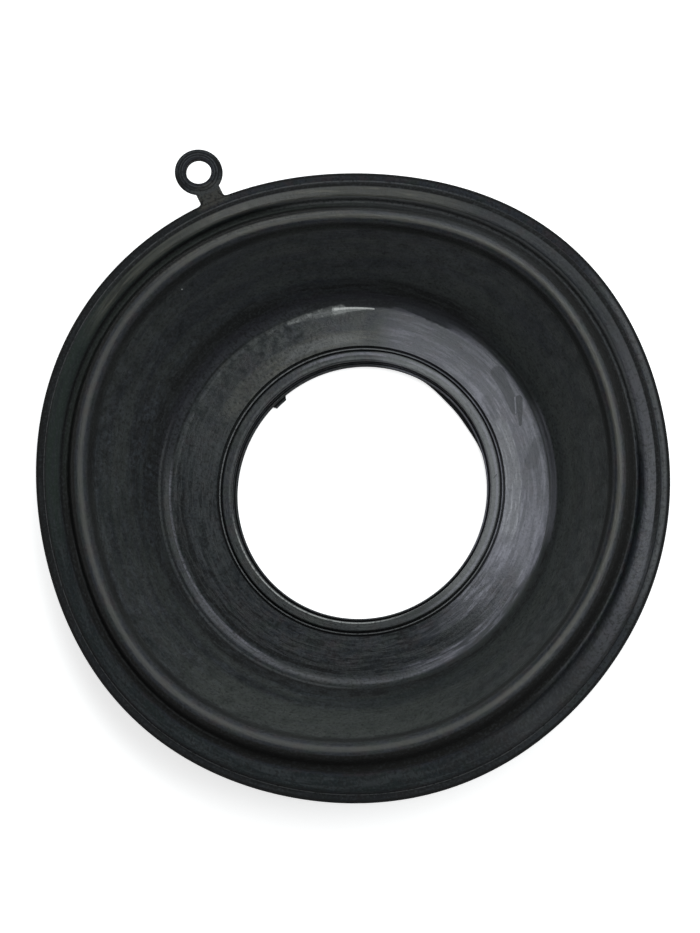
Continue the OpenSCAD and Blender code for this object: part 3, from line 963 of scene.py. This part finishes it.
def wall_layers(marks, at):
    """The wall: slate, mottled at the left and streaked below, with painted light low down, painted shade
    high up, a painted highlight and shade beside the crease, and black painted shade where it meets the roll.
    """
    ring, side, times, most = marks.ring, marks.side, marks.times, marks.most
    left_wall = times(at.wall, side(195, 55, 25))
    low_wall = times(at.wall, side(235, 50, 25))
    blots = marks.patches(1.3, 0.50, 0.62, 140)
    return [
        (0.5, GREEN_SLATE, at.wall, side(-15, 55, 45)),
        (0.5, BLUE_SLATE, at.wall, side(85, 50, 40)),
        (0.4, DEEP_SLATE, at.wall, at.mottle),
        (0.4, GREY, at.wall, at.speckle),
        (0.9, GREY_BLUE, left_wall, at.speckle),
        (0.6, GREY_BLUE, left_wall, at.wiped),
        (0.8, DEEP_SLATE, left_wall, at.mottle),
        (0.8, BLACK, left_wall, marks.patches(0.6, 0.44, 0.66, 31)),
        (0.7, BLACK, ring(28, 30, 1.2), side(160, 22, 16), blots),
        (0.8, TEAL, low_wall, at.drawn),
        (0.5, BLUE_SLATE, at.wall, side(90, 70, 30), at.drawn),
        # Painted light: the low wall, which faces the lamp, paler
        (0.6, GREY_GREEN, ring(30.5, 33.6, 0.8), side(262, 22, 18)),
        (0.8, DEEP_SLATE, ring(29, 30.2, 0.5), side(212, 20, 14), most(at.mottle, 0.4)),
        # Painted shade: the high wall, which faces away from the lamp, darker
        (0.35, DEEP_SLATE, ring(30.2, 33.5, 0.8), side(120, 35, 15)),
        # Painted highlight on the inner side of the crease at the right, painted shade on its outer side
        (0.7, GREY, ring(28.2, 28.7, 0.4), side(-3, 14, 10)),
        (0.5, DEEP_SLATE, ring(29.4, 29.9, 0.3), side(-5, 14, 10)),
        # Painted shade where the wall meets the roll
        (0.95, BLACK, at.flank_shade),
    ]


def rim_layers(marks, at):
    """The roll's crest with a painted highlight, painted shade in the valley outside it, the brushed bead
    with painted light and shade, and the lip's fine lines.
    """
    ring, side, times, most = marks.ring, marks.side, marks.times, marks.most
    return [
        # Painted highlight: the crest warm and pale, less at the lower left, with a second line of it at the
        # top
        (0.6, BEIGE, at.crest, marks.without(1, times(at.lower_left, 0.4))),
        (0.5, BEIGE, ring(36, 36.2, 0.2), side(112, 16, 10)),
        # Painted shade in the valley outside the roll
        (0.95, BROWN, at.valley),
        (0.5, GREY, at.valley, side(68, 14, 14), most(at.wiped, 0.4)),
        (0.5, GREEN_SLATE, ring(37.6, 38.5, 0.3), side(135, 35, 20)),
        (0.3, PALE, ring(37.45, 37.6, 0.1), side(218, 20, 12)),
        # Painted shade in the corner at the bead's foot, at the upper left
        (0.95, BLACK, ring(38.15, 38.35, 0.12), side(165, 45, 12)),
        (0.8, TEAL, at.bead, side(225, 55, 30)),
        (0.8, GREEN_SLATE, at.bead, side(155, 25, 20)),
        (0.4, GREY, at.bead, side(250, 70, 30), at.drawn),
        (0.9, DEEP_SLATE, at.bead, side(50, 45, 15), most(at.wiped, 0.5)),
        (0.5, BLACK, ring(38.3, 40.7, 0.3), side(315, 14, 14)),
        # Painted highlight on the bead's top, at the top, broken by fine streaks
        (0.85, BEIGE, ring(38.9, 40, 0.35), side(108, 32, 14), most(at.fine, 0.5)),
        (0.5, DEEP_SLATE, ring(38.9, 40.4, 0.35), side(155, 25, 15), at.drawn),
        # Painted light: the bead a little paler at the right
        (0.15, LILAC, ring(39, 40.2, 0.3), side(-5, 22, 16)),
        # Painted light in the corner at the bead's foot, at the upper right, lifting its shade
        (0.7, PALE, ring(38.1, 38.7, 0.25), side(55, 40, 15)),
        # Painted shade in the step outside the bead
        (0.95, BLACK, at.bead_step_shade),
        (0.8, BLACK, at.lip, side(158, 28, 24)),
        (0.35, GREY, at.lip, side(318, 24, 20)),
        (0.7, BLACK, at.lip, side(230, 60, 30)),
        # Painted highlight on the lip's ridge at the right
        (0.35, PALE, ring(41, 41.35, 0.15), at.near_side),
        (0.5, PALE, ring(40.84, 40.94, 0.03), side(190, 110, 30)),
        (0.25, GREY, at.lip, marks.streaks(9, 4, 0.50, 0.70, 90)),
    ]


def ear_layers(marks):
    """Fine light and dark rings on the ear's bead, one of them a painted highlight on its outer edge, and a
    paler neck.
    """
    ear_ring, ring = marks.ear_ring, marks.ring
    return [
        (0.6, SLATE, ear_ring(0, 3.3, 1), ring(43.4, 60, 0.8)),
        (0.4, BEIGE, ring(41.6, 44, 0.6), marks.side(EAR_TURN, 2.7, 0.8)),
        (0.5, GREY, ear_ring(2.8, 3.3, 0.1), ring(43.4, 60, 0.8)),
        (0.8, BLACK, ear_ring(2.62, 2.70, 0.05)),
        # Painted highlight on the outer edge of the ear's bead
        (0.35, PALE, ear_ring(2.44, 2.50, 0.04)),
        (0.7, BLACK, ear_ring(2.24, 2.32, 0.05)),
        (0.3, PALE, ear_ring(2.10, 2.15, 0.04)),
        (0.6, PURPLE_SLATE, ear_ring(1.75, 1.95, 0.08)),
    ]


def scar_and_glint_layers(marks, at):
    """A painted highlight on the sharp bend at the top of the web, with a softer glow round it, the dark
    patches at its right, and nicks.
    """
    stroke, most = marks.stroke, marks.most
    return [
        # Painted highlight on the sharp bend at the top of the web: a bright thin line, with a softer glow
        # round it
        (0.5, CHALK, stroke((95, 24.85), (112, 24.75), 0.5, 0.9, 0.4), most(at.speckle, 0.3)),
        (0.7, CHALK, stroke((97, 24.75), (87.5, 24.9), 0.4, 0.8, 0.15), most(at.speckle, 0.5)),
        (0.95, FOLD_GLINT, stroke((97.5, 25.05), (84.8, 24.95), 0.12, 0.6, 0.1), most(at.fine, 0.7)),
        (0.7, SLATE, stroke((40, 24.7), (27, 23.8), 0.8, 0.4, 0.3)),
        (0.85, SLATE, stroke((29.4, 25.1), (22, 23.6), 0.48, 0.6, 0.06)),
        (0.35, SLATE, stroke((36, 20.9), (28, 20.7), 0.4, 0.3, 0.4)),
        (0.4, SLATE, stroke((9, 23.6), (15, 25.2), 0.8, 0.4, 0.4)),
        (0.5, LILAC, stroke((30.5, 24.7), (26, 23.7), 0.08, 0.2, 0.05)),
        (0.8, BLACK, stroke((6.5, 18.5), (5, 18), 0.05, 0.3, 0.03)),
        (0.7, BLACK, stroke((34.6, 17.95), (36.5, 18.2), 0.03, 0.3, 0.03)),
    ]


def base_layers(marks):
    """Slight changes of hue over the whole part."""
    return [
        (0.5, BLUE_SLATE, marks.patches(7, 0.42, 0.60, 30)),
        (0.8, RED_SLATE, marks.patches(2.2, 0.50, 0.62, 44)),
        (0.6, GREEN_SLATE, marks.patches(2.4, 0.50, 0.62, 71)),
    ]


def grain_layers(marks, smooth):
    """Dark and pale grain and dust over everything; smooth says where the dark grain is left out."""
    return [
        (0.7, BLACK, marks.without(marks.patches(0.35, 0.50, 0.64, 85), smooth)),
        (0.35, GREY, marks.patches(0.32, 0.50, 0.66, 97)),
        (0.6, DUST, marks.specks(4.5, 0.11, 0.14)),
    ]


def foot_dull(marks, at):
    """Dull places where the web turns up into the wall."""
    times, most = marks.times, marks.most
    return [
        times(at.foot, most(at.mottle, at.drawn, 0.5)),
        at.wrinkles,
        times(at.fold, at.upper),
        times(at.hollow, at.upper, most(at.drawn, at.broad, 0.5)),
        times(at.fold, marks.side(-35, 20, 20), 0.6),
    ]


def floor_look(marks, at):
    """Upper layers, last layers and dull places of the ring and the web, up to the foot of the wall."""
    times, most = marks.times, marks.most
    layers = turn_up_layers(marks, at) + fold_layers(marks, at) + web_layers(marks, at)
    layers += ring_layers(marks, at) + scar_and_glint_layers(marks, at)
    last = grain_layers(marks, times(marks.side(15, 75, 20), marks.upper, 0.8))
    dull = foot_dull(marks, at) + [
        times(at.web, marks.side(235, 55, 30), most(at.wiped, at.drawn), 0.95),
        times(at.web, at.left, at.speckle, 0.6),
        times(at.floor_crease_shade, 1.2),
    ]
    # Painted shade in the slots, the ledge's cut and on the bore's wall, over the grain
    return layers, last + [(0.85, BLACK, at.floor_crease_shade)], dull


def wall_look(marks, at):
    """Upper layers, last layers and dull places of the wall, from its foot to the roll."""
    layers = wall_layers(marks, at) + turn_up_layers(marks, at)
    blotches = marks.times(at.wall, at.mottle, marks.most(at.lower_left, 0.5))
    return layers, grain_layers(marks, 0), foot_dull(marks, at) + [at.flank_shade, blotches]


def rim_look(marks, at):
    """Upper layers, last layers and dull places of the roll, the bead, the lip and the ear."""
    times = marks.times
    dull = [
        marks.without(at.lip, times(at.near_side, 0.8)),
        times(at.valley, 0.95),
        at.bead_step_shade,
        times(at.bead, marks.side(52, 36, 15), 0.3),
        times(marks.ring(38.4, 40.7, 0.3), marks.side(315, 14, 14), 0.5),
        times(marks.ring(38.4, 40.7, 0.3), at.lower_left),
        times(at.rim_edge_shade, 1.2),
    ]
    smooth = marks.most(at.crest, times(at.bead, marks.side(105, 70, 20), 0.8))
    # Painted shade along the rim's and the ear's edges and round the ear's hole, over the grain
    last = grain_layers(marks, smooth) + [(0.9, BLACK, at.rim_edge_shade)]
    return rim_layers(marks, at) + ear_layers(marks), last, dull


def rubber_bump(marks, at):
    """Fine grain, moulding streaks, wrinkles and soft unevenness, a few hundredths of a millimetre high."""
    grain = {"Vector": marks.place, "Scale": 2.4, "Detail": 5.0, "Roughness": 0.7}
    height = put(marks.tree, "TexNoise", grain).outputs[0]
    reliefs = (at.fine, 0.35), (at.mottle, 0.5), (at.speckle, 0.25), (at.drawn, -0.25), (at.wrinkles, -0.6)
    for mask, share in reliefs:
        height = maths(marks.tree, "MULTIPLY_ADD", mask, share, height)
    return put(marks.tree, "Bump", {"Strength": 0.8, "Distance": 0.07 * MM, "Height": height}).outputs[0]


def laid(marks, colour, layers):
    """A colour with layers over it, the first one lowest."""
    for share, tint, *where in layers:
        colour = mixed(marks.tree, marks.times(*where, share), colour, tint)
    return colour


def cleared(data):
    """A material or a world with an empty node tree, and that tree."""
    data.use_nodes = True
    data.node_tree.nodes.clear()
    return data, data.node_tree


# Roughness of the satin rubber, what the dull places add to it, and its refractive index
SATIN, DULL_MORE, RUBBER_IOR = 0.44, 0.52, 1.43


def rubber_material(name, look, groups):
    """Black moulded rubber: satin with dull places, its marks, painted highlights, light and shade on the
    upper side, its grain and the painted shade of its creases and edges on both.
    """
    material, tree = cleared(bpy.data.materials.new(name))
    marks = Marks(tree, groups)
    at = find_zones(marks)
    layers, last, dull_places = look(marks, at)
    under = laid(marks, SLATE, base_layers(marks))
    colour = laid(marks, mixed(tree, marks.upper, under, laid(marks, under, layers)), last)
    dull = marks.without(marks.most(*dull_places, marks.times(at.lower_left, 0.25)), at.sleek)
    roughness = maths(tree, "MULTIPLY_ADD", dull, DULL_MORE, SATIN, clamp=True)
    shader = put(tree, "BsdfPrincipled", {"Base Color": colour, "Roughness": roughness,
                                          "Normal": rubber_bump(marks, at), "IOR": RUBBER_IOR})
    put(tree, "OutputMaterial", {0: shader.outputs[0]})
    return material


WHITE, PAPER = (1.0, 1.0, 1.0, 1.0), (0.8, 0.8, 0.8, 1.0)
FLOOR_GLOW = 0.68
FLOOR_HALF, FLOOR_LEVEL = 2.0, -0.00002


def floor_material():
    """White paper: lit like paper, and as bright as white to the camera and in reflections."""
    material, tree = cleared(bpy.data.materials.new("white_floor"))
    rays = put(tree, "LightPath").outputs
    mirrored = maths(tree, "ADD", rays["Is Glossy Ray"], rays["Is Transmission Ray"])
    seen = maths(tree, "ADD", rays["Is Camera Ray"], mirrored, clamp=True)
    paper = put(tree, "BsdfDiffuse", {"Color": PAPER})
    glow = put(tree, "Emission", {"Color": WHITE, "Strength": maths(tree, "MULTIPLY", seen, FLOOR_GLOW)})
    both = put(tree, "AddShader", {0: paper.outputs[0], 1: glow.outputs[0]})
    put(tree, "OutputMaterial", {0: both.outputs[0]})
    return material


def lay_floor(material):
    """A plain square floor a hair below the ring's underside, well past every view's edge."""
    mesh = bpy.data.meshes.new("floor")
    corners = [(x * FLOOR_HALF, y * FLOOR_HALF, FLOOR_LEVEL) for x, y in ((-1, -1), (1, -1), (1, 1), (-1, 1))]
    mesh.from_pydata(corners, [], [(0, 1, 2, 3)])
    mesh.materials.append(material)
    in_scene("floor", mesh)


# Camera: the picture's height in pixels, its scale at the rim, the camera's distance, its lean off
# plumb and the direction of that, and where the picture's middle falls on the rim's plane
PHOTO_H = 933
PX_PER_MM = 7.60
CAMERA_AWAY = 390.0
CAMERA_LEAN = 7.5
CAMERA_TURN = -65.0
AIM = (-1.02, 2.24, RIM_Z)
SENSOR_W = 36.0


def standing(side, up, back, spot):
    """The matrix of something at spot with its own axes along side, up and back."""
    rows = np.eye(4)
    rows[:3] = np.column_stack([side, up, back, spot])
    return Matrix(rows.tolist())


def place_camera():
    """Looks down at the rim, CAMERA_LEAN degrees off plumb towards the direction CAMERA_TURN."""
    back = pointing(CAMERA_TURN, 90.0 - CAMERA_LEAN)
    up = unit(np.array([0.0, 1.0, 0.0]) - back * back[1])
    data = bpy.data.cameras.new("camera")
    data.sensor_fit = "AUTO"
    data.sensor_width = SENSOR_W
    data.lens = SENSOR_W * CAMERA_AWAY * PX_PER_MM / PHOTO_H
    data.clip_start = 0.01
    data.clip_end = 10.0
    camera = in_scene("camera", data)
    camera.matrix_world = standing(np.cross(up, back), up, back, (np.array(AIM) + back * CAMERA_AWAY) * MM)
    bpy.context.scene.camera = camera


# The lamps' light is a little cool, and the surroundings light the part less than they show
LAMP_COLOUR = (0.95, 1.0, 1.01)
ROOM_LIGHT = 0.2


def soft_lamp(name, turn, height, away, size, power):
    """A square area lamp at a direction and height in degrees, facing the middle of the part."""
    back = pointing(turn, height)
    side = unit(np.cross([0.0, 0.0, 1.0], back))
    data = bpy.data.lights.new(name, "AREA")
    data.shape, data.size, data.energy, data.color = "SQUARE", size, power, LAMP_COLOUR
    in_scene(name, data).matrix_world = standing(side, np.cross(back, side), back, back * away)


def light_room():
    """Even white surroundings, a broad lamp beyond the top of the picture and one to its right."""
    world, tree = cleared(bpy.data.worlds.new("surroundings"))
    seen = put(tree, "LightPath").outputs["Is Camera Ray"]
    strength = maths(tree, "MULTIPLY_ADD", seen, 1.0 - ROOM_LIGHT, ROOM_LIGHT)
    glow = put(tree, "Background", {"Color": WHITE, "Strength": strength})
    put(tree, "OutputWorld", {0: glow.outputs[0]})
    bpy.context.scene.world = world
    soft_lamp("window", turn=84.0, height=52.0, away=0.9, size=0.5, power=4.2)
    soft_lamp("near_window", turn=12.0, height=70.0, away=0.42, size=0.22, power=0.75)


moulded, flat_normals, quads = moulding()
lying, lying_normals = settled(moulded, flat_normals)
diaphragm = mesh_piece("rubber_diaphragm", lying, quads, lying_normals, moulded)
shader_groups = {"polar": polar_group(), "band": band_group(), "fan": fan_group(), "streaks": streak_group(),
                 "clouds": cloud_group(), "stroke": stroke_group(), "specks": speck_group()}
for look_name, look in (("rubber_floor", floor_look), ("rubber_wall", wall_look), ("rubber_rim", rim_look)):
    diaphragm.data.materials.append(rubber_material(look_name, look, shader_groups))
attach(diaphragm, "root")
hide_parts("diaphragm")

lay_floor(floor_material())
light_room()
place_camera()
bpy.context.scene.view_settings.view_transform = "Standard"
